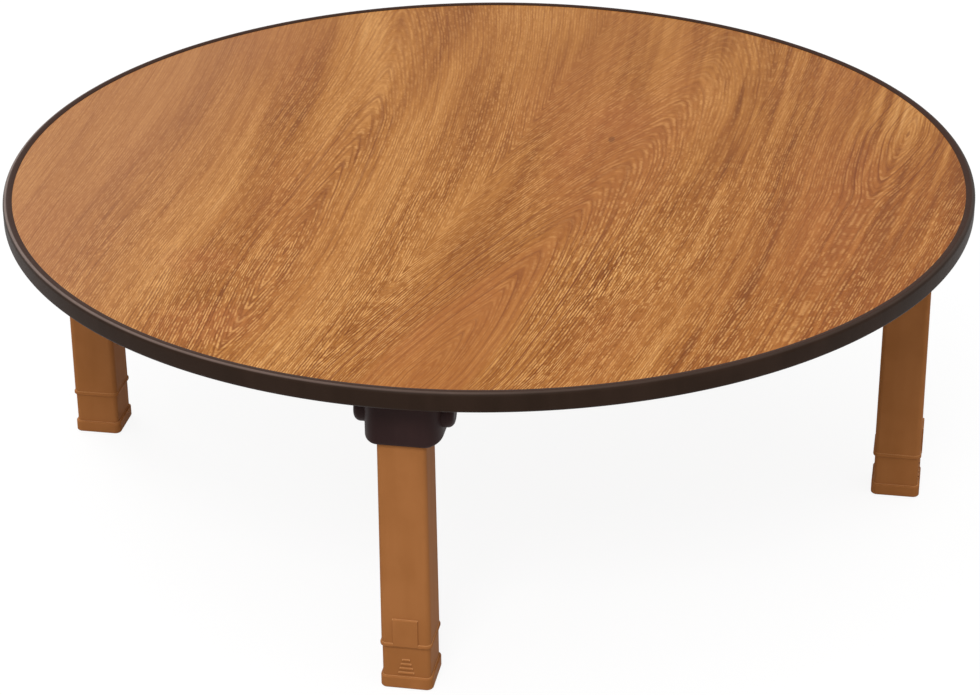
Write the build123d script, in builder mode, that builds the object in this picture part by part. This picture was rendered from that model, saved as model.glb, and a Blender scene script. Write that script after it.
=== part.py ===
from build123d import *
import os

# Round folding low table (chabudai), millimetres.
# Origin on the floor under the middle of the table top, +Z up. The legs stand on the
# X and Y axes. One leg is modelled at -Y, the front, and its pieces are then copied
# round the table. On a front leg +Y points inwards, towards the table's middle.

# ---- table top ----
table_diameter = 800.0
table_height = 272.0  # floor to the crown of the edge moulding
core_thickness = 12.6
laminate_thickness = 0.8
backing_thickness = 0.6

# ---- edge moulding, a T section pushed into a groove round the board ----
edge_wall = 3.6
edge_round = 3.0
lip_height = 1.0
lip_overlap = 4.0
lip_round = 0.4
stem_thickness = 3.0
stem_depth = 10.0
barb_depth = 0.4
barb_length = 2.0
groove_clearance = 0.1
groove_end_gap = 0.6
rim_clearance = 0.1

# ---- leg places and pivots ----
leg_inset = 48.5  # rim to the middle of the leg
pivot_drop = 26.0  # underside of the board to the pivot pin
leg_places = {"front": 0, "right": 90, "back": 180, "left": 270}

# ---- leg tube, a tapered square tube ----
tube_top_width = 37.0
tube_end_width = 38.6
tube_corner = 4.4
tube_wall = 2.4
tube_end_height = 37.0
shoulder_drop = 12.0  # pivot to the upper end of the tube
bead_height = 3.4
bead_proud = 0.9
bead_round = 1.2
plate_width = 19.5
plate_top_height = 62.0
plate_proud = 1.2
plate_round = 0.6

# ---- foot ----
foot_flare = 1.0  # base beyond the tube, on each side
foot_base_height = 10.8
foot_base_round = 1.5
foot_neck_inset = 0.7  # neck inside the tube, on each side
foot_wall = 2.4
foot_floor = 3.0
foot_plug_length = 46.0
foot_lift = 0.6  # the foot's rim stays this far above the floor, on its pad
rib_widths = (12.0, 10.0, 8.0, 5.8)  # thumb ribs, lowest first
rib_first_height = 14.0
rib_pitch = 3.8
rib_radius = 1.0
snap_width = 9.0
snap_height = 6.0
snap_rise = 13.0  # end of the tube to the foot of the snap hook
snap_depth = 1.2
snap_slit = 1.0
snap_slit_start = 5.0
snap_clearance = 0.25

# ---- pad under the foot ----
pad_width = 32.0
pad_corner = 4.0
pad_thickness = 3.6
pad_clearance = 0.2
pad_groove_width = 1.6
pad_groove_depth = 0.8
pad_groove_pitch = 6.0
pad_groove_count = 4

# ---- leg head: knuckle on the pivot pin and plug in the tube ----
knuckle_width = 34.0
knuckle_flat = 13.0  # pivot to the two flats that the leaf spring presses on
knuckle_back = 11.0
knuckle_nose_round = 8.0
knuckle_back_round = 5.0
shoulder_thickness = 4.0
shoulder_inset = 0.2
head_plug_length = 46.0
head_plug_wall = 3.0
head_rib_width = 8.0
head_rib_reach = 12.0
plug_corner = 2.0
plug_clearance = 0.2

# ---- pivot ----
pin_radius = 4.0
pin_head_radius = 6.4
pin_head_thickness = 2.4
running_clearance = 0.05
ring_thickness = 1.0
ring_groove_depth = 1.0
ring_groove_clearance = 0.05
ring_mouth = 4.6
bush_wall = 2.0
bush_length = 11.0
bush_flange_radius = 7.6
bush_flange_thickness = 1.6
bush_fit = 0.02

# ---- bracket ----
channel_clearance = 0.6  # leg tube to each cheek
stop_clearance = 0.4  # upright leg to the outer wall
cheek_thickness = 9.9
outer_wall = 3.6
cheek_reach = 24.0  # pivot to the cheeks' inner end
bracket_drop = 45.5  # underside of the board to the bracket's lower edge
bracket_corner_across = 12.0
bracket_corner_along = 19.0
bracket_lower_round = 3.2
flange_thickness = 4.0
flange_corner = 9.0
flange_shift = 8.0  # pivot to the middle of the flange, inwards
bearing_wall = 5.9
boss_radius = 10.6
boss_reach = 2.8
counterbore_clearance = 0.6
core_width = 4.0
core_length = 9.0
core_floor = 5.0
core_end_wall = 3.0
gusset_reach = 11.0
gusset_drop = 13.0
gusset_thickness = 3.0

# ---- domed plugs over the pin's ends ----
plug_dome = 5.6
plug_dome_round = 5.2
plug_gap = 1.0
plug_fit = 0.05

# ---- leaf spring ----
leaf_thickness = 1.2
leaf_width = 15.0
leaf_offset = 2.0  # the leaf's middle lies this far outside the pivot
leaf_seat = 4.4
leaf_flat = 16.0
leaf_bend = 3.0
leaf_clearance = 0.3

# ---- screws ----
wood_screw_radius = 2.0
wood_screw_length = 13.0
wood_head_radius = 4.0
wood_head_height = 2.2
wood_screw_across = 74.0
wood_screw_along = 56.0
wood_screw_margin = 8.5
head_screw_radius = 1.6
head_screw_length = 11.0
head_screw_head_radius = 3.4
head_screw_head_height = 1.8
head_screw_pitch = 20.0
head_screw_drop = 12.0  # upper end of the tube to the first head screw
screw_clearance = 0.1
screw_tip = 3.0
drive_width = 0.9
drive_length = 4.4
drive_depth = 1.1

# ---- radii, heights and half widths that follow ----
leg_radius = table_diameter / 2 - leg_inset
lip_crown = table_height
laminate_top = lip_crown - lip_height
core_top = laminate_top - laminate_thickness
core_bottom = core_top - core_thickness
underside = core_bottom - backing_thickness
board_middle = (laminate_top + underside) / 2
core_middle = (core_top + core_bottom) / 2
board_radius = table_diameter / 2 - edge_wall
pivot_height = underside - pivot_drop
tube_top_height = pivot_height - shoulder_drop
tube_length = tube_top_height - tube_end_height
flange_bottom = underside - flange_thickness
bracket_bottom = underside - bracket_drop
channel_half = tube_top_width / 2 + channel_clearance
bracket_half = channel_half + cheek_thickness
stop_face = tube_top_width / 2 + stop_clearance
bracket_face = stop_face + outer_wall
boss_face = bracket_half + boss_reach
counterbore_floor = channel_half + bearing_wall
counterbore_radius = pin_head_radius + counterbore_clearance
counterbore_depth = boss_face - counterbore_floor
bush_radius = pin_radius + running_clearance + bush_wall
screw_lead = wood_screw_length - wood_head_height - screw_tip


def tube_half(height):
    """Half the tube's outer width at a height above the floor."""
    share = (height - tube_end_height) / tube_length
    return (tube_end_width + (tube_top_width - tube_end_width) * share) / 2


def level(height):
    """Horizontal plane on the front leg's own axis: x across the leg, y inwards."""
    return Plane(origin=(0, -leg_radius, height), x_dir=(1, 0, 0), z_dir=(0, 0, 1))


# Planes through the pivot: side_view has x inwards and y up, front_view x across and y up.
side_view = Plane(origin=(0, -leg_radius, pivot_height), x_dir=(0, 1, 0), z_dir=(1, 0, 0))
front_view = Plane(origin=(0, -leg_radius, pivot_height), x_dir=(1, 0, 0), z_dir=(0, -1, 0))

os.makedirs("parts", exist_ok=True)


# ---- board core: fibreboard disc, grooved for the stem and drilled for the screws ----
pilot_radius = wood_screw_radius + screw_clearance
pilot_top = underside - flange_thickness + wood_screw_length + screw_clearance
groove_half = stem_thickness / 2 + barb_depth + groove_clearance
groove_radius = board_radius - stem_depth - groove_end_gap

with BuildPart() as board_core:
    with BuildSketch(Plane.XY.offset(core_bottom)):
        Circle(board_radius)
    extrude(amount=core_thickness)
    with BuildSketch(Plane.XZ):
        with Locations((groove_radius, core_middle)):
            Rectangle(board_radius, 2 * groove_half, align=(Align.MIN, Align.CENTER))
    revolve(axis=Axis.Z, mode=Mode.SUBTRACT)
    with BuildSketch(Plane.XY.offset(core_bottom)):
        with PolarLocations(leg_radius - flange_shift, len(leg_places)):
            with GridLocations(wood_screw_along, wood_screw_across, 2, 2):
                Circle(pilot_radius)
    extrude(amount=pilot_top - core_bottom, mode=Mode.SUBTRACT)
board_core.part.label = "board_core"
export_step(board_core.part, "parts/board_core.step")


# ---- top laminate ----
with BuildPart() as top_laminate:
    with BuildSketch(Plane.XY.offset(core_top)):
        Circle(board_radius)
    extrude(amount=laminate_thickness)
top_laminate.part.label = "top_laminate"
export_step(top_laminate.part, "parts/top_laminate.step")


# ---- backing sheet, drilled for the bracket screws ----
with BuildPart() as backing_sheet:
    with BuildSketch(Plane.XY.offset(underside)):
        Circle(board_radius)
        with PolarLocations(leg_radius - flange_shift, len(leg_places)):
            with GridLocations(wood_screw_along, wood_screw_across, 2, 2):
                Circle(pilot_radius, mode=Mode.SUBTRACT)
    extrude(amount=backing_thickness)
backing_sheet.part.label = "backing_sheet"
export_step(backing_sheet.part, "parts/backing_sheet.step")


# ---- edge moulding: outer wall, two lips over the board and a barbed stem ----
lip_radius = board_radius - lip_overlap
edge_depth = edge_wall + lip_overlap
edge_height = laminate_top - underside + 2 * lip_height
stem_end = board_radius - stem_depth

with BuildPart() as edge_moulding:
    with BuildSketch(Plane.XZ) as edge_section:
        with Locations((lip_radius, board_middle)):
            Rectangle(edge_depth, edge_height, align=(Align.MIN, Align.CENTER))
        fillet(edge_section.vertices().group_by(Axis.X)[-1], edge_round)
        fillet(edge_section.vertices().group_by(Axis.X)[0], lip_round)
        with Locations((lip_radius, board_middle)):
            Rectangle(
                lip_overlap + rim_clearance,
                edge_height - 2 * lip_height,
                align=(Align.MIN, Align.CENTER),
                mode=Mode.SUBTRACT,
            )
        with Locations((stem_end, core_middle)):
            Rectangle(
                stem_depth + edge_wall / 2, stem_thickness, align=(Align.MIN, Align.CENTER)
            )
        with BuildLine():
            Polyline(
                (stem_end, core_middle),
                (stem_end + barb_length, core_middle + stem_thickness / 2 + barb_depth),
                (stem_end + barb_length, core_middle - stem_thickness / 2 - barb_depth),
                close=True,
            )
        make_face()
    revolve(axis=Axis.Z)
edge_moulding.part.label = "edge_moulding"
export_step(edge_moulding.part, "parts/edge_moulding.step")


# ---- bracket: flange under the board, two cheeks, closed outer wall, pivot bosses ----
corner_start = bracket_face - bracket_corner_along
corner_end = bracket_half - bracket_corner_across
seat_height = leaf_thickness + 2 * leaf_clearance
core_centre = cheek_reach - core_end_wall - core_length / 2

with BuildPart() as bracket:
    # Plan of the body: the two outer corners are quarter ellipses.
    with BuildSketch(level(bracket_bottom)):
        with BuildLine():
            Line((bracket_half, cheek_reach), (bracket_half, -corner_start))
            EllipticalCenterArc(
                (corner_end, -corner_start),
                bracket_corner_across,
                bracket_corner_along,
                start_angle=270,
                arc_size=90,
            )
            Line((corner_end, -bracket_face), (-corner_end, -bracket_face))
            EllipticalCenterArc(
                (-corner_end, -corner_start),
                bracket_corner_across,
                bracket_corner_along,
                start_angle=180,
                arc_size=90,
            )
            Line((-bracket_half, -corner_start), (-bracket_half, cheek_reach))
            Line((-bracket_half, cheek_reach), (bracket_half, cheek_reach))
        make_face()
    extrude(amount=bracket_drop)
    # The foot of the body is rounded, except at its inner end.
    foot_edges = bracket.edges().group_by(Axis.Z)[0].sort_by(Axis.Y)
    fillet(foot_edges[:-1], bracket_lower_round)
    # Pivot bosses.
    with BuildSketch(side_view):
        Circle(boss_radius)
    extrude(amount=boss_face, both=True)
    # Flange, with a gusset to each cheek.
    with BuildSketch(level(flange_bottom)):
        with Locations((0, flange_shift)):
            RectangleRounded(
                wood_screw_across + 2 * wood_screw_margin,
                wood_screw_along + 2 * wood_screw_margin,
                flange_corner,
            )
    extrude(amount=flange_thickness)
    gusset_top = flange_bottom - pivot_height
    with BuildSketch(front_view.offset(-cheek_reach)):
        with BuildLine():
            Polyline(
                (-bracket_half - gusset_reach, gusset_top),
                (bracket_half + gusset_reach, gusset_top),
                (bracket_half, gusset_top - gusset_drop),
                (-bracket_half, gusset_top - gusset_drop),
                close=True,
            )
        make_face()
    extrude(amount=gusset_thickness)
    # Channel for the leg, open downwards and inwards.
    with BuildSketch(level(bracket_bottom)):
        with Locations((0, -stop_face)):
            Rectangle(
                2 * channel_half, 2 * (stop_face + cheek_reach), align=(Align.CENTER, Align.MIN)
            )
    extrude(amount=flange_bottom - bracket_bottom, mode=Mode.SUBTRACT)
    # Seats for the ends of the leaf spring, open inwards so that it slides in.
    with BuildSketch(level(flange_bottom)):
        with Locations((0, -leaf_offset - leaf_width / 2)):
            Rectangle(
                2 * (channel_half + leaf_seat + leaf_clearance),
                2 * (cheek_reach + leaf_width),
                align=(Align.CENTER, Align.MIN),
            )
    extrude(amount=-seat_height, mode=Mode.SUBTRACT)
    # Pin holes, and a counterbore in each boss.
    with BuildSketch(side_view):
        Circle(pin_radius + running_clearance)
    extrude(amount=boss_face, both=True, mode=Mode.SUBTRACT)
    for side in (1, -1):
        with BuildSketch(side_view.offset(side * counterbore_floor)):
            Circle(counterbore_radius)
        extrude(amount=side * counterbore_depth, mode=Mode.SUBTRACT)
    # Core-outs in the cheeks, hidden under the board.
    with BuildSketch(level(underside)):
        with Locations((0, core_centre)):
            with GridLocations(2 * channel_half + cheek_thickness, 1, 2, 1):
                Rectangle(core_width, core_length)
    extrude(amount=-(bracket_drop - core_floor), mode=Mode.SUBTRACT)
    # Countersunk screw holes.
    with Locations(level(flange_bottom)):
        with Locations((0, flange_shift)):
            with GridLocations(wood_screw_across, wood_screw_along, 2, 2):
                Cone(
                    wood_head_radius + screw_clearance,
                    pilot_radius,
                    wood_head_height,
                    align=(Align.CENTER, Align.CENTER, Align.MIN),
                    mode=Mode.SUBTRACT,
                )
                Cylinder(
                    pilot_radius,
                    flange_thickness,
                    align=(Align.CENTER, Align.CENTER, Align.MIN),
                    mode=Mode.SUBTRACT,
                )


# ---- wood screws that hold the flange to the board ----
with BuildPart() as bracket_screws:
    with Locations(level(flange_bottom)):
        with Locations((0, flange_shift)):
            with GridLocations(wood_screw_across, wood_screw_along, 2, 2):
                Cone(
                    wood_head_radius,
                    wood_screw_radius,
                    wood_head_height,
                    align=(Align.CENTER, Align.CENTER, Align.MIN),
                )
                Cylinder(
                    wood_screw_radius,
                    wood_head_height + screw_lead,
                    align=(Align.CENTER, Align.CENTER, Align.MIN),
                )
    with Locations(level(flange_bottom + wood_head_height + screw_lead)):
        with Locations((0, flange_shift)):
            with GridLocations(wood_screw_across, wood_screw_along, 2, 2):
                Cone(
                    wood_screw_radius,
                    0,
                    screw_tip,
                    align=(Align.CENTER, Align.CENTER, Align.MIN),
                )
    with BuildSketch(level(flange_bottom)):
        with Locations((0, flange_shift)):
            with GridLocations(wood_screw_across, wood_screw_along, 2, 2):
                Rectangle(drive_length, drive_width)
                Rectangle(drive_width, drive_length)
    extrude(amount=drive_depth, mode=Mode.SUBTRACT)


# ---- leaf spring: a bowed strip across the channel that presses on the knuckle ----
leaf_low = knuckle_flat + leaf_clearance + leaf_thickness / 2
leaf_high = flange_bottom - pivot_height - leaf_thickness / 2
leaf_end = channel_half + leaf_seat
leaf_knee = channel_half - leaf_clearance

with BuildPart() as leaf_spring:
    with BuildSketch(front_view.offset(leaf_offset - leaf_width / 2)):
        with BuildLine():
            FilletPolyline(
                (-leaf_end, leaf_high),
                (-leaf_knee, leaf_high),
                (-leaf_flat / 2, leaf_low),
                (leaf_flat / 2, leaf_low),
                (leaf_knee, leaf_high),
                (leaf_end, leaf_high),
                radius=leaf_bend,
            )
        trace(line_width=leaf_thickness)
    extrude(amount=leaf_width)


# ---- pivot pin, headed at one end and grooved for a retaining ring at the other ----
pin_tail = pin_head_thickness
groove_width = ring_thickness + ring_groove_clearance

with BuildPart() as pivot_pin:
    with BuildSketch(side_view.offset(-counterbore_floor - pin_tail)):
        Circle(pin_radius)
    extrude(amount=2 * counterbore_floor + pin_tail)
    with BuildSketch(side_view.offset(counterbore_floor)):
        Circle(pin_head_radius)
    extrude(amount=pin_head_thickness)
    with BuildSketch(side_view.offset(-counterbore_floor)):
        Circle(pin_radius)
        Circle(pin_radius - ring_groove_depth, mode=Mode.SUBTRACT)
    extrude(amount=-groove_width, mode=Mode.SUBTRACT)
    chamfer(pivot_pin.edges().group_by(Axis.X)[0], ring_groove_depth / 2)
    chamfer(pivot_pin.edges().group_by(Axis.X)[-1], ring_groove_depth / 2)


# ---- retaining ring, an open ring that snaps into the pin's groove ----
with BuildPart() as retaining_ring:
    with BuildSketch(side_view.offset(-counterbore_floor)):
        Circle(pin_head_radius)
        Circle(pin_radius - ring_groove_depth + ring_groove_clearance, mode=Mode.SUBTRACT)
        Rectangle(
            ring_mouth, pin_head_radius, align=(Align.CENTER, Align.MAX), mode=Mode.SUBTRACT
        )
    extrude(amount=-ring_thickness)


# ---- domed plugs that close the two bosses ----
spigot_length = counterbore_depth - pin_head_thickness - plug_gap

with BuildPart() as pin_plugs:
    for side in (1, -1):
        with BuildSketch(side_view.offset(side * boss_face)):
            Circle(boss_radius)
        extrude(amount=side * plug_dome)
        with BuildSketch(side_view.offset(side * boss_face)):
            Circle(counterbore_radius - plug_fit)
        extrude(amount=-side * spigot_length)
    fillet(pin_plugs.edges().group_by(Axis.X)[0], plug_dome_round)
    fillet(pin_plugs.edges().group_by(Axis.X)[-1], plug_dome_round)


# ---- leg head: knuckle with two flats and a rounded nose, shoulder, hollow plug ----
head_plug_width = 2 * (tube_half(tube_top_height) - tube_wall - plug_clearance)
head_hollow = head_plug_width - 2 * head_plug_wall
shoulder_width = tube_top_width - 2 * shoulder_inset
shoulder_top = shoulder_thickness - shoulder_drop
first_screw = tube_top_height - head_screw_drop
screw_middle = first_screw - head_screw_pitch / 2

with BuildPart() as leg_head:
    with BuildSketch(side_view) as cam:
        with BuildLine():
            Polyline(
                (-knuckle_back, shoulder_top),
                (-knuckle_back, knuckle_flat),
                (knuckle_flat, knuckle_flat),
                (knuckle_flat, shoulder_top),
                close=True,
            )
        make_face()
        fillet(cam.vertices().group_by(Axis.Y)[-1].sort_by(Axis.X)[-1], knuckle_nose_round)
        fillet(cam.vertices().group_by(Axis.Y)[-1].sort_by(Axis.X)[0], knuckle_back_round)
    extrude(amount=knuckle_width / 2, both=True)
    with BuildSketch(level(tube_top_height)):
        RectangleRounded(shoulder_width, shoulder_width, tube_corner)
    extrude(amount=shoulder_thickness)
    with BuildSketch(level(tube_top_height)):
        RectangleRounded(head_plug_width, head_plug_width, plug_corner)
    extrude(amount=-head_plug_length)
    with BuildSketch(level(tube_top_height - head_plug_length)):
        RectangleRounded(head_hollow, head_hollow, plug_corner)
        with Locations((0, head_hollow / 2)):
            Rectangle(
                head_rib_width,
                head_rib_reach,
                align=(Align.CENTER, Align.MAX),
                mode=Mode.SUBTRACT,
            )
    extrude(amount=head_plug_length, mode=Mode.SUBTRACT)
    with BuildSketch(side_view):
        Circle(bush_radius + bush_fit)
    extrude(amount=knuckle_width / 2, both=True, mode=Mode.SUBTRACT)
    with BuildSketch(front_view.offset(-head_plug_width / 2)):
        with Locations((0, screw_middle - pivot_height)):
            with GridLocations(1, head_screw_pitch, 1, 2):
                Circle(head_screw_radius + screw_clearance)
    extrude(amount=head_screw_length, mode=Mode.SUBTRACT)


# ---- flanged bushes in the knuckle ----
with BuildPart() as pivot_bushes:
    for side in (1, -1):
        with BuildSketch(side_view.offset(side * knuckle_width / 2)):
            Circle(bush_flange_radius)
            Circle(pin_radius + running_clearance, mode=Mode.SUBTRACT)
        extrude(amount=side * bush_flange_thickness)
        with BuildSketch(side_view.offset(side * knuckle_width / 2)):
            Circle(bush_radius)
            Circle(pin_radius + running_clearance, mode=Mode.SUBTRACT)
        extrude(amount=-side * bush_length)


# ---- leg tube, with a bead round its lower end and a raised plate on the outer face ----
bead_width = tube_end_width + 2 * bead_proud
plate_face = tube_end_width / 2 + plate_proud
tube_bore_end = tube_end_width - 2 * tube_wall
tube_bore_top = tube_top_width - 2 * tube_wall
bore_corner = tube_corner - tube_wall
foot_plug_width = 2 * (tube_half(tube_end_height + foot_plug_length) - tube_wall - plug_clearance)
snap_middle = tube_end_height + snap_rise + snap_height / 2
snap_reach = foot_plug_width / 2 + snap_depth

with BuildPart() as raised_plate:
    with BuildSketch(front_view.offset(plate_face)):
        with Locations((0, tube_end_height + bead_round - pivot_height)):
            Rectangle(
                plate_width,
                plate_top_height - tube_end_height - bead_round,
                align=(Align.CENTER, Align.MIN),
            )
    extrude(amount=-plate_proud - tube_wall)
    fillet(raised_plate.faces().sort_by(Axis.Y)[0].edges(), plate_round)

with BuildPart() as leg_tube:
    with BuildSketch(level(tube_end_height)):
        RectangleRounded(bead_width, bead_width, tube_corner + bead_proud)
    extrude(amount=bead_height)
    bead_rims = leg_tube.edges().group_by(Axis.Z)
    fillet(bead_rims[0] + bead_rims[-1], bead_round)
    with BuildSketch(level(tube_end_height)):
        RectangleRounded(tube_end_width, tube_end_width, tube_corner)
    with BuildSketch(level(tube_top_height)):
        RectangleRounded(tube_top_width, tube_top_width, tube_corner)
    loft(ruled=True)
    add(raised_plate.part)
    with BuildSketch(level(tube_end_height)):
        RectangleRounded(tube_bore_end, tube_bore_end, bore_corner)
    with BuildSketch(level(tube_top_height)):
        RectangleRounded(tube_bore_top, tube_bore_top, bore_corner)
    loft(ruled=True, mode=Mode.SUBTRACT)
    # Pocket for the foot's snap hook, behind the raised plate.
    with BuildSketch(front_view.offset(snap_reach + snap_clearance)):
        with Locations((0, snap_middle - pivot_height)):
            Rectangle(snap_width + 2 * snap_clearance, snap_height + 2 * snap_clearance)
    extrude(amount=-tube_wall, mode=Mode.SUBTRACT)
    # Countersunk holes for the head screws, in the inner face.
    for rise in (0, head_screw_pitch):
        screw_face = tube_half(first_screw - rise)
        with BuildSketch(front_view.offset(-screw_face)):
            with Locations((0, first_screw - rise - pivot_height)):
                Circle(head_screw_head_radius + screw_clearance)
        with BuildSketch(front_view.offset(head_screw_head_height - screw_face)):
            with Locations((0, first_screw - rise - pivot_height)):
                Circle(head_screw_radius + screw_clearance)
        loft(ruled=True, mode=Mode.SUBTRACT)
        with BuildSketch(front_view.offset(-screw_face)):
            with Locations((0, first_screw - rise - pivot_height)):
                Circle(head_screw_radius + screw_clearance)
        extrude(amount=2 * tube_wall, mode=Mode.SUBTRACT)


# ---- countersunk screws that hold the tube on the head's plug ----
with BuildPart() as head_screws:
    for rise in (0, head_screw_pitch):
        screw_face = tube_half(first_screw - rise)
        screw_height = first_screw - rise - pivot_height
        with BuildSketch(front_view.offset(-screw_face)):
            with Locations((0, screw_height)):
                Circle(head_screw_head_radius)
        with BuildSketch(front_view.offset(head_screw_head_height - screw_face)):
            with Locations((0, screw_height)):
                Circle(head_screw_radius)
        loft(ruled=True)
        with BuildSketch(front_view.offset(-screw_face)):
            with Locations((0, screw_height)):
                Circle(head_screw_radius)
        extrude(amount=head_screw_length)
        with BuildSketch(front_view.offset(-screw_face)):
            with Locations((0, screw_height)):
                Rectangle(drive_length, drive_width)
                Rectangle(drive_width, drive_length)
        extrude(amount=drive_depth, mode=Mode.SUBTRACT)


# ---- foot: flared base, neck with thumb ribs, hollow plug with a snap hook ----
foot_base_width = tube_end_width + 2 * foot_flare
foot_neck_width = tube_end_width - 2 * foot_neck_inset
neck_corner = tube_corner - foot_neck_inset
base_corner = tube_corner + foot_flare
foot_plug_top = tube_end_height + foot_plug_length
foot_hollow = foot_plug_width - 2 * foot_wall
pad_top = pad_thickness
slit_span = snap_width + 2 * snap_slit
slit_height = foot_plug_length - snap_slit_start

with BuildPart() as foot:
    with BuildSketch(level(foot_lift)):
        RectangleRounded(foot_base_width, foot_base_width, base_corner)
    extrude(amount=foot_base_height - foot_lift)
    base_rims = foot.edges().group_by(Axis.Z)
    fillet(base_rims[0], foot_base_round)
    fillet(base_rims[-1], (foot_flare + foot_neck_inset) / 2)
    with BuildSketch(level(foot_base_height)):
        RectangleRounded(foot_neck_width, foot_neck_width, neck_corner)
    extrude(amount=tube_end_height - foot_base_height)
    for place, width in enumerate(rib_widths):
        with Locations(level(rib_first_height + place * rib_pitch)):
            with Locations((0, -foot_neck_width / 2)):
                Cylinder(rib_radius, width, rotation=(0, 90, 0))
    with BuildSketch(level(tube_end_height)):
        RectangleRounded(foot_plug_width, foot_plug_width, plug_corner)
    extrude(amount=foot_plug_length)
    with BuildSketch(front_view):
        with Locations((0, snap_middle - pivot_height)):
            Rectangle(snap_width, snap_height)
    extrude(amount=snap_reach)
    with BuildSketch(level(pad_top + foot_floor)):
        RectangleRounded(foot_hollow, foot_hollow, plug_corner)
    extrude(amount=foot_plug_top - pad_top - foot_floor, mode=Mode.SUBTRACT)
    with BuildSketch(level(tube_end_height + snap_slit_start)):
        with Locations((0, -foot_plug_width / 2 + foot_wall / 2)):
            with GridLocations(slit_span - snap_slit, 1, 2, 1):
                Rectangle(snap_slit, 2 * foot_wall)
    extrude(amount=slit_height, mode=Mode.SUBTRACT)
    with BuildSketch(level(foot_lift)):
        RectangleRounded(pad_width + 2 * pad_clearance, pad_width + 2 * pad_clearance, pad_corner)
    extrude(amount=pad_top - foot_lift, mode=Mode.SUBTRACT)


# ---- rubber pad in the foot's recess ----
with BuildPart() as foot_pad:
    with BuildSketch(level(0)):
        RectangleRounded(pad_width, pad_width, pad_corner)
    extrude(amount=pad_thickness)
    chamfer(foot_pad.edges().group_by(Axis.Z)[0], foot_lift / 2)
    with BuildSketch(level(0)):
        with GridLocations(pad_groove_pitch, 1, pad_groove_count, 1):
            Rectangle(pad_groove_width, 2 * pad_width)
    extrude(amount=pad_groove_depth, mode=Mode.SUBTRACT)


# ---- the four copies of every leg piece, each turned to its place round the table ----
leg_pieces = {
    "bracket": bracket,
    "bracket_screws": bracket_screws,
    "leaf_spring": leaf_spring,
    "pivot_pin": pivot_pin,
    "retaining_ring": retaining_ring,
    "pin_plugs": pin_plugs,
    "leg_head": leg_head,
    "pivot_bushes": pivot_bushes,
    "leg_tube": leg_tube,
    "head_screws": head_screws,
    "foot": foot,
    "foot_pad": foot_pad,
}
for place, turn in leg_places.items():
    for piece, made in leg_pieces.items():
        with BuildPart() as placed:
            with Locations(Rotation(0, 0, turn)):
                add(made.part)
        placed.part.label = f"{place}_{piece}"
        export_step(placed.part, f"parts/{place}_{piece}.step")
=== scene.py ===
import math

import bmesh
import bpy
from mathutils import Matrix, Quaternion, Vector


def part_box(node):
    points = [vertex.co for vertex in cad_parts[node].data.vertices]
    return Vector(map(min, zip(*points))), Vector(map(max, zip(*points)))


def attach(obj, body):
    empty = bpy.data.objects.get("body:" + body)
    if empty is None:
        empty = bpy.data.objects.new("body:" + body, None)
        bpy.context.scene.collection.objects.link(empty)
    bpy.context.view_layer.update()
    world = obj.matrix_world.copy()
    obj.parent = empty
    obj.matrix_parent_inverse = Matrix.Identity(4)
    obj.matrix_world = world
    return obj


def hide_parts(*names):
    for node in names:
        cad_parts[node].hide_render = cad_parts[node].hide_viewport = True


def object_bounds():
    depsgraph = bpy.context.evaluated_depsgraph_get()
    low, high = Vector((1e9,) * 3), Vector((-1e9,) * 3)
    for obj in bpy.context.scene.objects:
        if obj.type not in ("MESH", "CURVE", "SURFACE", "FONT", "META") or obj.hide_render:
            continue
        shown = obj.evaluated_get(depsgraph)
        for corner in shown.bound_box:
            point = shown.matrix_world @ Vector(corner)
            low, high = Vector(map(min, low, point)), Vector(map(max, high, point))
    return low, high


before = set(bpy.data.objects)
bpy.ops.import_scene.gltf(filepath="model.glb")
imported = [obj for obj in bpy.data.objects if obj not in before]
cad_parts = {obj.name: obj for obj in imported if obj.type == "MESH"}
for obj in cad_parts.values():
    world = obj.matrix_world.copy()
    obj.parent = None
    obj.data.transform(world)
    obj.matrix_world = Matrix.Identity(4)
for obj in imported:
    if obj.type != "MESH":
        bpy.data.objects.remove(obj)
cad_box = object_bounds()

# Round folding low table. Everything is in metres, in the row frame: +Z up, the floor at
# z = 0, the grain of the wood print along Y and the front leg at -Y.

# ---- camera: long lens, a little to the right of the front leg ----
camera_place = Vector((0.37759, -2.09442, 1.19428))
camera_aim = Vector((0.01579, -0.08858, 0.15))
camera_roll = math.radians(-0.513)
camera_lens = 102.23
camera_sensor = 36.0

# ---- studio ----
floor_radius = 9.0
floor_shadow = 0.2  # share of the floor's shadows that shows
floor_glow = 1.12  # brings the open floor up to white
sky_high = 1.05  # strength of the light from straight above
sky_low = 0.12  # and from the horizon
key_place = Vector((-0.1, -2.45, 2.5))
key_size = 1.0
key_power = 43.0
sheen_place = Vector((-2.6, 2.2, 1.7))
sheen_size = 2.2
sheen_power = 46.0

# ---- edge moulding, over the laminate that the CAD model gives ----
lip_width = 0.0076
lip_proud = 0.001
lip_feather = 0.00025  # height of the lip's thin inner edge
crown_inset = 0.0032  # outer wall to the highest line of the lip
wall_round = 0.003
wall_thickness = 0.0036
stem_half = 0.0015
stem_depth = 0.010
barb_half = 0.0019
barb_length = 0.002
lathe_steps = 480
lathe_sharp = math.radians(38)
lip_climb = (0.35, 0.6, 0.8, 0.92)  # points on the lip, as shares of its way to the crown

# ---- painted highlights and painted shade: where each one starts, and where it is full ----
crown_inside = (0.3967, 0.3976)
crown_outside = (0.3994, 0.3985)
crown_height = (0.2680, 0.2700)
crown_left = (0.24, -0.20)
slope_inside = (0.3975, 0.3966)
edge_shading_reach = 0.0012
edge_shading_gain = 9.0


def paint(red, green, blue):
    """A colour written in 0-255 screen values, as the linear colour that sockets take."""
    shares = [part / 255 for part in (red, green, blue)]
    return (*[s / 12.92 if s < 0.04045 else ((s + 0.055) / 1.055) ** 2.4 for s in shares], 1.0)


# ---------------------------------------------------------------- shader expressions


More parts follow.
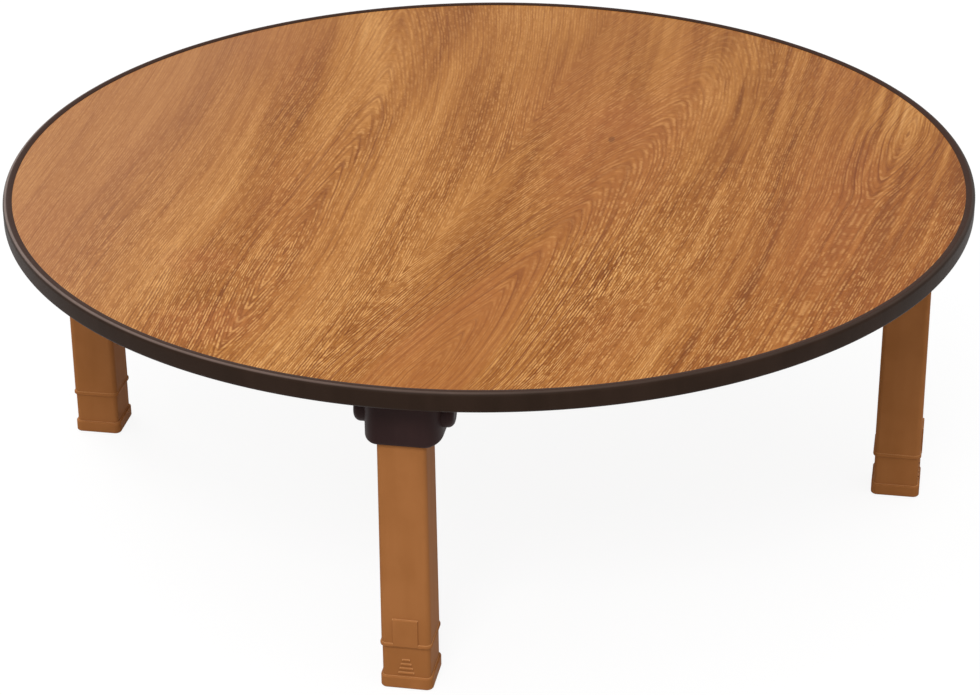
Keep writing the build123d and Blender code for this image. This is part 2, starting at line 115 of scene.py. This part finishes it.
class Wire:
    """A value inside a finish. Arithmetic on wires adds Math nodes to that finish."""

    def __init__(self, finish, socket):
        self.finish = finish
        self.socket = socket

    def maths(self, operation, *values):
        inputs = dict(enumerate(values))
        return self.finish.node("ShaderNodeMath", {"operation": operation}, inputs)

    def __add__(self, other):
        return self.maths("ADD", self, other)

    def __radd__(self, other):
        return self.maths("ADD", other, self)

    def __sub__(self, other):
        return self.maths("SUBTRACT", self, other)

    def __rsub__(self, other):
        return self.maths("SUBTRACT", other, self)

    def __mul__(self, other):
        return self.maths("MULTIPLY", self, other)

    def __rmul__(self, other):
        return self.maths("MULTIPLY", other, self)

    def __truediv__(self, other):
        return self.maths("DIVIDE", self, other)

    def __rtruediv__(self, other):
        return self.maths("DIVIDE", other, self)

    def __pow__(self, other):
        return self.maths("POWER", self, other)

    def __rpow__(self, other):
        return self.maths("POWER", other, self)

    def __abs__(self):
        return self.maths("ABSOLUTE", self)

    def floor(self):
        return self.maths("FLOOR", self)

    def fraction(self):
        return self.maths("FRACT", self)

    def root(self):
        return self.maths("SQRT", self)

    def nearest(self, other, blend):
        return self.maths("SMOOTH_MIN", self, other, blend)

    def clip(self):
        return self.finish.node("ShaderNodeClamp", {}, {"Value": self})

    def rise(self, start, end):
        """0 below start, 1 above end and a smooth step between; falls if start > end."""
        settings = {"interpolation_type": "SMOOTHSTEP"}
        if start < end:
            inputs = {"Value": self, "From Min": start, "From Max": end}
            return self.finish.node("ShaderNodeMapRange", settings, inputs)
        inputs = {"Value": self, "From Min": end, "From Max": start}
        return 1.0 - self.finish.node("ShaderNodeMapRange", settings, inputs)

    def hill(self, middle, half_width):
        """1 at middle, falling smoothly to 0 at half_width to either side."""
        return abs(self - middle).rise(half_width, 0.0)


class Finish:
    """A material, or the sky, made of nodes."""

    def __init__(self, name, owner=None):
        self.material = owner or bpy.data.materials.new(name)
        self.material.use_nodes = True
        self.tree = self.material.node_tree
        self.tree.nodes.clear()

    def spread(self, kind="Object"):
        """The row frame's x, y and z over the surface, or over the sky."""
        self.place = self.node("ShaderNodeTexCoord", output=kind)
        split = {"Vector": self.place}
        return [self.node("ShaderNodeSeparateXYZ", {}, split, axis) for axis in "XYZ"]

    def node(self, kind, settings=None, inputs=None, output=0):
        """Adds one node: its settings first, then the values or links of its inputs."""
        made = self.tree.nodes.new(kind)
        for name, value in (settings or {}).items():
            if name == "stops":
                stops = made.color_ramp.elements
                while len(stops) < len(value):
                    stops.new(0.5)
                for stop, (position, colour) in zip(stops, value):
                    stop.position = position
                    stop.color = colour
            else:
                setattr(made, name, value)
        for name, value in (inputs or {}).items():
            if isinstance(value, Wire):
                self.tree.links.new(value.socket, made.inputs[name])
            else:
                made.inputs[name].default_value = value
        return Wire(self, made.outputs[output]) if made.outputs else None

    def vector(self, x, y, z=0.0):
        return self.node("ShaderNodeCombineXYZ", {}, {"X": x, "Y": y, "Z": z})

    def noise(self, where, scale=1.0, detail=2.0, roughness=0.5):
        inputs = {"Vector": where, "Scale": scale, "Detail": detail, "Roughness": roughness}
        return self.node("ShaderNodeTexNoise", {}, inputs)

    def chance(self, number):
        """A random value between 0 and 1 for each whole number."""
        settings = {"noise_dimensions": "1D"}
        return self.node("ShaderNodeTexWhiteNoise", settings, {"W": number})

    def ramp(self, value, *stops):
        return self.node("ShaderNodeValToRGB", {"stops": stops}, {"Fac": value})

    def blend(self, share, first, second):
        inputs = {0: share, 6: first, 7: second}
        return self.node("ShaderNodeMix", {"data_type": "RGBA"}, inputs, 2)

    def bump(self, height, distance, strength=1.0):
        inputs = {"Height": height, "Distance": distance, "Strength": strength}
        return self.node("ShaderNodeBump", {}, inputs)

    def edge_lean(self, radius):
        """Above 0 near edges that look up, below 0 near edges that look down, else 0."""
        soft = self.node("ShaderNodeBevel", {"samples": 8}, {"Radius": radius})
        flat = self.node("ShaderNodeNewGeometry", output="Normal")
        turned = {"vector_type": "NORMAL", "convert_from": "WORLD", "convert_to": "OBJECT"}
        own = self.node("ShaderNodeVectorTransform", turned, {"Vector": soft})
        up = self.node("ShaderNodeSeparateXYZ", {}, {"Vector": own}, "Z")
        likeness = {"operation": "DOT_PRODUCT"}
        like = self.node("ShaderNodeVectorMath", likeness, {0: soft, 1: flat}, "Value")
        return (1.0 - like) * up

    def surface(self, **inputs):
        """Connects the shader; underscores in the names stand for spaces."""
        named = {name.replace("_", " "): value for name, value in inputs.items()}
        shader = self.node("ShaderNodeBsdfPrincipled", {}, named)
        self.node("ShaderNodeOutputMaterial", {}, {"Surface": shader})
        return self.material


# ---------------------------------------------------------------- wood print

grain_lean = 0.03  # sideways drift of the grain per metre along the table
grain_fan = 0.30  # how fast the grain fans out towards the right
grain_bow = 0.13
ring_pitch = 0.0050
fibre_pitch = 0.0021


def wood_laminate():
    """Embossed melamine with a printed oak-like grain, satin."""
    wood = Finish("wood_laminate")
    x, y, _ = wood.spread()
    drift = wood.noise(wood.vector(x * 5.0, y * 1.6, 3.1), detail=1.0) - 0.5
    tremble = wood.noise(wood.vector(x * 50.0, y * 14.0, 7.7), detail=2.0) - 0.5
    across = x - y * grain_lean - x * y * grain_fan + y * y * grain_bow
    across = across + drift * 0.03 + tremble * 0.0018

    # Growth rings round three hearts: a cathedral at the front, an eye at the left and
    # a smaller cathedral at the right edge. The lines run straight where the heart lies
    # deeper than the limit.
    def rings_round(heart, lean, depth, slope, middle, seed, limit=0.2):
        waves = wood.noise(wood.vector(seed, y * 7.0, seed), detail=2.0) - 0.5
        deep = abs(depth + (y - middle) * slope + waves * 0.006).nearest(limit, 0.006)
        side = abs(across - heart - (y - middle) * lean)
        return (side**1.35 + deep**1.35) ** (1.0 / 1.35)

    front_rings = rings_round(0.064, 0.160, 0.0200, 0.165, -0.25, 2.0)
    eye_rings = rings_round(-0.122, 0.0, 0.012, 0.09, -0.05, 5.0)
    edge_rings = rings_round(0.318, 0.04, 0.014, -0.16, 0.04, 9.0, limit=0.022)
    flow = front_rings.nearest(eye_rings, 0.003).nearest(edge_rings, 0.003)
    uneven = wood.noise(wood.vector(flow * 60.0, 4.0), detail=1.0) - 0.5
    rings = flow / ring_pitch + uneven * 2.0

    step = rings.fraction()
    luck = wood.chance(rings.floor())
    broken = wood.noise(wood.vector(rings * 0.7, y * 5.0, 1.0), detail=2.0).rise(0.26, 0.48)
    front_place = front_rings.rise(0.105, 0.062) * y.hill(-0.26, 0.34)
    eye_place = eye_rings.rise(0.07, 0.02) * y.hill(-0.04, 0.22)
    edge_place = edge_rings.rise(0.08, 0.02) * y.hill(0.05, 0.30)
    figure = (front_place + eye_place * 0.7 + edge_place).clip()
    border = front_rings.rise(0.082, 0.064) * front_rings.rise(0.034, 0.042)
    border = border * y.rise(-0.04, -0.12)
    ring_line = step.rise(0.42, 0.06) * step.rise(0.0, 0.06)
    ring_line = ring_line * (0.30 + luck * 0.70 + border * 0.25)
    heart_wood = front_rings.rise(0.050, 0.036) * y.rise(-0.08, -0.15)
    ring_line = ring_line * broken * (0.36 + figure * 0.64) * (1.0 - heart_wood * 0.35)

    def patch(middle_x, middle_y, reach_x, reach_y):
        """1 in the middle of an oval patch, fading out at its rim."""
        off_x = (x - middle_x) / reach_x
        off_y = (y - middle_y) / reach_y
        return (off_x * off_x + off_y * off_y).root().rise(1.0, 0.45)

    stripes = across.hill(0.130, 0.055) * y.rise(-0.10, -0.22)
    # plain_sheened_left makes the left side plainer in figure and, further below, paler and
    # greyer: a painted sheen.
    plain_sheened_left = x.rise(-0.16, -0.32)
    plain_red = patch(0.100, 0.020, 0.070, 0.19)
    dark_red = patch(0.275, -0.120, 0.085, 0.17)
    open_grain = wood.noise(wood.vector(across * 16.0, y * 4.0, 12.0), detail=2.0)
    open_grain = open_grain.rise(0.68, 0.34) * (1.0 - plain_sheened_left * 0.4)
    open_grain = open_grain * (1.0 - plain_red * 0.4)
    crisp = 0.34 + y.rise(0.30, -0.28) * 0.66 + stripes * 0.5 - edge_place * 0.2
    crisp = crisp - x.rise(0.12, 0.30) * 0.15 * y.rise(0.0, -0.16)
    crisp = crisp * (0.50 + open_grain * 0.50) * (1.0 - heart_wood * 0.70)
    crisp = crisp * (1.0 - border * 0.25)

    # Broad bands of golden and reddish wood, and the fine streaks in them.
    bands = wood.noise(wood.vector(across * 20.0, y * 2.0, 4.0), detail=3.0, roughness=0.5)
    streaks = wood.noise(wood.vector(across * 150.0, y * 4.0, 8.0), detail=3.0, roughness=0.6)
    threads = wood.noise(wood.vector(flow * 560.0, y * 12.0, 2.5), detail=2.0, roughness=0.6)
    # Towards the right edge the wood is painted darker and redder below: painted shade.
    shaded_right_edge = x.rise(0.12, 0.32) * y.rise(0.20, -0.05)
    tone = 0.49 + (bands - 0.5) * (1.0 + x.rise(0.1, 0.3) * 0.4)
    tone = tone + (streaks - 0.5) * (0.6 + x.rise(0.1, 0.35) * 1.5)
    tone = tone + (threads - 0.5) * 1.1 * (crisp + heart_wood * 0.3)
    # The right edge and a gentle slope from left to right are darkened here: painted shade.
    tone = tone - shaded_right_edge * 0.17 - plain_red * 0.06 - x.rise(-0.12, 0.08) * 0.05
    tone = tone - dark_red * 0.10
    colour = wood.ramp(
        tone.clip(),
        (0.0, paint(108, 56, 14)),
        (0.28, paint(142, 84, 30)),
        (0.50, paint(168, 109, 49)),
        (0.72, paint(188, 131, 70)),
        (1.0, paint(216, 162, 100)),
    )
    red_place = wood.noise(wood.vector(across * 9.0, y * 2.6, 21.0), detail=2.0)
    red_place = red_place.rise(0.48, 0.72) * 0.5 + heart_wood * 0.55
    # The right edge term adds painted shade in a darker, redder brown.
    red_place = red_place + plain_red * 0.6 + shaded_right_edge * 0.6
    red_place = red_place + patch(-0.192, -0.210, 0.040, 0.030) * 0.6
    red_place = red_place + patch(-0.160, -0.315, 0.055, 0.045) * 0.7
    colour = wood.blend(red_place.clip() * 0.75, colour, paint(162, 97, 48))

    # Fine dark lines between rows of short golden dashes, all along the grain.
    sway = wood.noise(wood.vector(flow * 60.0, y * 6.0, 17.0), detail=1.0)
    jag = wood.noise(wood.vector(flow * 350.0, y * 260.0, 3.0), detail=1.0)
    fibre = flow / fibre_pitch + sway * 3.0 + jag * 0.5
    row = fibre.floor()
    gaps = wood.noise(wood.vector(row * 7.3, y * 34.0, 5.0), detail=2.0).rise(0.34, 0.50)
    row_luck = wood.chance(row + 0.5)
    fibre_line = fibre.fraction().hill(0.5, 0.40) * (0.25 + row_luck * 0.75) * gaps * crisp
    ridge = fibre + 0.5
    dashes = wood.noise(wood.vector(ridge.floor() * 5.7, y * 105.0, 6.5), detail=2.0)
    dashes = dashes.rise(0.42, 0.60) * ridge.fraction().hill(0.5, 0.48) * crisp
    pores = wood.noise(wood.vector(flow * 1050.0, y * 120.0, 15.0), detail=1.0)
    pores = pores.rise(0.52, 0.66) * crisp
    colour = wood.blend((dashes * 0.68).clip(), colour, paint(228, 172, 106))
    colour = wood.blend((pores * 0.40).clip(), colour, paint(108, 56, 16))
    colour = wood.blend((fibre_line * 0.85).clip(), colour, paint(106, 52, 12))
    # A paler, greyer brown towards the left: a painted sheen.
    colour = wood.blend(plain_sheened_left * 0.45, colour, paint(160, 110, 76))
    colour = wood.blend((ring_line * 0.80).clip(), colour, paint(112, 54, 20))
    knot = patch(0.0925, 0.078, 0.0036, 0.0085)
    colour = wood.blend(knot * 0.55, colour, paint(96, 50, 20))

    relief = threads * 0.4 - pores * 0.6 - fibre_line * 0.5 - ring_line * 0.3
    return wood.surface(
        Base_Color=colour,
        Roughness=0.42 + pores * 0.15,
        Normal=wood.bump(relief, 0.00005, 0.5),
        Specular_IOR_Level=0.05,
    )


# ---------------------------------------------------------------- plastics, metals, rubber


def moulded_plastic(
    name, colour, darker, roughness, gloss=0.3, grain=1800.0, crown_highlight=None, edge_highlight=None
):
    """Injection moulded plastic: a fine spark-eroded texture and a slight cloudiness."""
    plastic = Finish(name)
    x, y, z = plastic.spread()
    clouds = plastic.noise(plastic.place, scale=26.0, detail=3.0)
    flow = plastic.noise(plastic.vector(x * 60.0, y * 60.0, z * 9.0), detail=2.0)
    texture = plastic.noise(plastic.place, scale=grain, detail=2.0)
    shade = (clouds.rise(0.35, 0.65) * 0.6 + flow.rise(0.4, 0.6) * 0.4).clip()
    paled = plastic.blend(shade, darker, colour)
    if crown_highlight:
        # The crown of the edge moulding is painted paler than its wall, more so towards the
        # left: a painted highlight. Its inner slope is painted darker: painted shade.
        radius = (x * x + y * y).root()
        crown = radius.rise(*crown_inside) * radius.rise(*crown_outside)
        crown = crown * z.rise(*crown_height)
        slope = radius.rise(*slope_inside)
        paled = plastic.blend(slope, paled, paint(52, 29, 17))
        crown = crown * (0.15 + x.rise(*crown_left) * 0.85)
        paled = plastic.blend(crown * (0.85 + (clouds - 0.5) * 0.6), paled, crown_highlight)
    if edge_highlight:
        # Edges that look up are painted paler, a painted highlight, and edges that look down
        # are painted darker, painted shade.
        lean = plastic.edge_lean(edge_shading_reach)
        paled = plastic.blend((lean * edge_shading_gain).clip(), paled, edge_highlight)
        paled = plastic.blend((lean * -edge_shading_gain).clip() * 0.8, paled, paint(96, 58, 30))
    return plastic.surface(
        Base_Color=paled,
        Roughness=roughness + (texture - 0.5) * 0.25 + (clouds - 0.5) * 0.1,
        Normal=plastic.bump(texture, 0.00004, 0.6),
        Specular_IOR_Level=gloss,
    )


def plated_steel(name, colour, roughness):
    """Zinc plated or tempered steel with faint drawing lines."""
    steel = Finish(name)
    x, y, z = steel.spread()
    lines = steel.noise(steel.vector(x * 900.0, y * 900.0, z * 60.0), detail=2.0)
    spots = steel.noise(steel.place, scale=240.0, detail=3.0)
    return steel.surface(
        Base_Color=steel.blend(spots.rise(0.35, 0.7) * 0.35, colour, paint(120, 122, 122)),
        Metallic=1.0,
        Roughness=roughness + (spots - 0.5) * 0.2,
        Normal=steel.bump(lines, 0.00002, 0.4),
    )


def balance_paper():
    """Brown balance paper glued under the board, with short fibres."""
    paper = Finish("balance_paper")
    x, y, _ = paper.spread()
    fibres = paper.noise(paper.vector(x * 260.0, y * 90.0, 2.0), detail=3.0)
    clouds = paper.noise(paper.place, scale=14.0, detail=4.0)
    shade = (fibres * 0.5 + clouds * 0.5).rise(0.38, 0.62)
    return paper.surface(
        Base_Color=paper.blend(shade, paint(104, 74, 50), paint(128, 94, 66)),
        Roughness=0.72 + (fibres - 0.5) * 0.15,
        Normal=paper.bump(fibres, 0.00006, 0.5),
    )


def fibreboard():
    """Pressed wood fibre, as it shows at a cut."""
    board = Finish("pressed_fibreboard")
    board.spread()
    fibres = board.noise(board.place, scale=420.0, detail=4.0, roughness=0.65)
    shade = fibres.rise(0.35, 0.65)
    return board.surface(
        Base_Color=board.blend(shade, paint(150, 116, 78), paint(186, 150, 106)),
        Roughness=0.85,
        Normal=board.bump(fibres, 0.00015, 0.6),
    )


finishes = {
    "laminate": wood_laminate(),
    "edge_plastic": moulded_plastic(
        "edge_moulding_plastic",
        paint(48, 34, 26),
        paint(42, 29, 21),
        0.48,
        0.06,
        grain=900.0,
        # the crown colour below is a painted highlight
        crown_highlight=paint(112, 94, 86),
    ),
    "bracket_plastic": moulded_plastic(
        "bracket_plastic", paint(51, 34, 33), paint(44, 28, 27), 0.50, 0.08
    ),
    "leg_plastic": moulded_plastic(
        "leg_plastic",
        paint(168, 109, 62),
        paint(158, 101, 55),
        0.58,
        0.04,
        # the edge colour below is a painted highlight on edges that look up
        edge_highlight=paint(212, 156, 104),
    ),
    "head_plastic": moulded_plastic("head_plastic", paint(52, 38, 33), paint(44, 31, 27), 0.5),
    "bush_plastic": moulded_plastic(
        "bush_plastic", paint(222, 218, 206), paint(212, 208, 196), 0.4
    ),
    "pad_rubber": moulded_plastic(
        "pad_rubber", paint(40, 38, 36), paint(33, 31, 30), 0.8, grain=700.0
    ),
    "zinc_steel": plated_steel("zinc_plated_steel", paint(196, 198, 196), 0.3),
    "spring_steel": plated_steel("spring_steel", paint(132, 134, 140), 0.28),
    "backing": balance_paper(),
    "fibreboard": fibreboard(),
}

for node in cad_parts.values():
    for slot in node.material_slots:
        slot.material = finishes[slot.material.name]


# ---------------------------------------------------------------- edge moulding


def arc(middle, radius, start, end, steps=10):
    """Points (across, height) on a circle's arc, from the start angle to the end angle."""
    turns = [math.radians(start + (end - start) * step / steps) for step in range(steps + 1)]
    across, height = middle
    return [(across + radius * math.cos(t), height + radius * math.sin(t)) for t in turns]


def lathe(name, outline):
    """A closed outline of (radius, height) points turned once round the Z axis."""
    shape = bmesh.new()
    rings = []
    for step in range(lathe_steps):
        turn = 2 * math.pi * step / lathe_steps
        cos, sin = math.cos(turn), math.sin(turn)
        ring = [shape.verts.new((r * cos, r * sin, z)) for r, z in outline]
        rings.append(ring)
    for step, ring in enumerate(rings):
        following = rings[(step + 1) % lathe_steps]
        for place, corner in enumerate(ring):
            other = (place + 1) % len(ring)
            shape.faces.new((corner, following[place], following[other], ring[other]))
    bmesh.ops.recalc_face_normals(shape, faces=shape.faces)
    for face in shape.faces:
        face.smooth = True
    mesh = bpy.data.meshes.new(name)
    shape.to_mesh(mesh)
    shape.free()
    mesh.set_sharp_from_angle(angle=lathe_sharp)
    made = bpy.data.objects.new(name, mesh)
    bpy.context.scene.collection.objects.link(made)
    return made


def edge_outline(outer, laminate_face, backing_face):
    """Section of the moulding: a rounded outer wall, two feathered lips, a barbed stem."""
    inner = outer - lip_width
    board = outer - wall_thickness
    crown = outer - crown_inset
    top = laminate_face + lip_proud
    middle = (laminate_face + backing_face) / 2
    stem_end = board - stem_depth
    upper = [(inner, laminate_face), (inner, laminate_face + lip_feather)]
    # The lip climbs to its crown, then the wall's upper edge is rounded.
    for share in lip_climb:
        climb = (lip_proud - lip_feather) * math.sin(share * math.pi / 2)
        upper.append((inner + (crown - inner) * share, laminate_face + lip_feather + climb))
    upper.append((crown, top))
    upper += arc((outer - wall_round, top - wall_round), wall_round, 90, 0)
    lower = [(r, laminate_face + backing_face - z) for r, z in reversed(upper)]
    stem = [
        (board, backing_face),
        (board, middle - stem_half),
        (stem_end + barb_length, middle - stem_half),
        (stem_end + barb_length, middle - barb_half),
        (stem_end, middle),
        (stem_end + barb_length, middle + barb_half),
        (stem_end + barb_length, middle + stem_half),
        (board, middle + stem_half),
        (board, laminate_face),
    ]
    return upper + lower + stem


laminate_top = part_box("top_laminate")[1].z
backing_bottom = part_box("backing_sheet")[0].z
table_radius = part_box("edge_moulding")[1].x
edge = lathe("edge_trim", edge_outline(table_radius, laminate_top, backing_bottom))
edge.data.materials.append(finishes["edge_plastic"])
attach(edge, "table_top")
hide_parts("edge_moulding")


# ---------------------------------------------------------------- studio


def seen_or_mirrored(finish):
    """1 for rays from the camera, and for rays mirrored by gloss or passed by glass."""
    kinds = ("Is Camera Ray", "Is Glossy Ray", "Is Transmission Ray")
    seen, glossy, through = (
        finish.node("ShaderNodeLightPath", output=kind) for kind in kinds
    )
    return (seen + glossy + through).clip()


def studio_floor():
    """Pale floor, white where it is looked at, that keeps a share of its shadows."""
    ground = Finish("studio_floor")
    matt = ground.node("ShaderNodeBsdfDiffuse", {}, {"Color": (0.6, 0.6, 0.6, 1.0)})
    glow = ground.node("ShaderNodeEmission", {}, {"Strength": floor_glow})
    share = seen_or_mirrored(ground) * (1.0 - floor_shadow)
    mixed = ground.node("ShaderNodeMixShader", {}, {0: share, 1: matt, 2: glow})
    ground.node("ShaderNodeOutputMaterial", {}, {"Surface": mixed})

    mesh = bpy.data.meshes.new("studio_floor")
    shape = bmesh.new()
    bmesh.ops.create_circle(shape, cap_ends=True, segments=96, radius=floor_radius)
    shape.to_mesh(mesh)
    shape.free()
    mesh.materials.append(ground.material)
    plane = bpy.data.objects.new("studio_floor", mesh)
    bpy.context.scene.collection.objects.link(plane)


def soft_box(name, place, size, power):
    """A square softbox that faces the middle of the table top."""
    light = bpy.data.lights.new(name, "AREA")
    light.size = size
    light.energy = power
    box = bpy.data.objects.new(name, light)
    box.location = place
    box.rotation_mode = "QUATERNION"
    aim = Vector((0, 0, cad_box[1].z)) - place
    box.rotation_quaternion = aim.to_track_quat("-Z", "Y")
    bpy.context.scene.collection.objects.link(box)


def studio_sky():
    """White light, stronger from above, and white where it is looked at."""
    world = bpy.data.worlds.new("studio_sky")
    sky = Finish("studio_sky", world)
    height = sky.spread("Generated")[2]
    shed = sky_low + (sky_high - sky_low) * height.rise(-0.1, 0.9)
    strength = shed + seen_or_mirrored(sky) * (1.0 - shed)
    light = sky.node("ShaderNodeBackground", {}, {"Color": (1, 1, 1, 1), "Strength": strength})
    sky.node("ShaderNodeOutputWorld", {}, {"Surface": light})
    bpy.context.scene.world = world


def camera():
    """The camera, aimed at a point under the table top and rolled a little."""
    lens = bpy.data.cameras.new("camera")
    lens.lens = camera_lens
    lens.sensor_width = camera_sensor
    eye = bpy.data.objects.new("camera", lens)
    eye.location = camera_place
    eye.rotation_mode = "QUATERNION"
    aim = (camera_aim - camera_place).to_track_quat("-Z", "Y")
    eye.rotation_quaternion = aim @ Quaternion((0, 0, 1), camera_roll)
    bpy.context.scene.collection.objects.link(eye)
    bpy.context.scene.camera = eye


camera()
studio_floor()
studio_sky()
soft_box("key_light", key_place, key_size, key_power)
soft_box("sheen_light", sheen_place, sheen_size, sheen_power)

bpy.context.scene.view_settings.view_transform = "Standard"
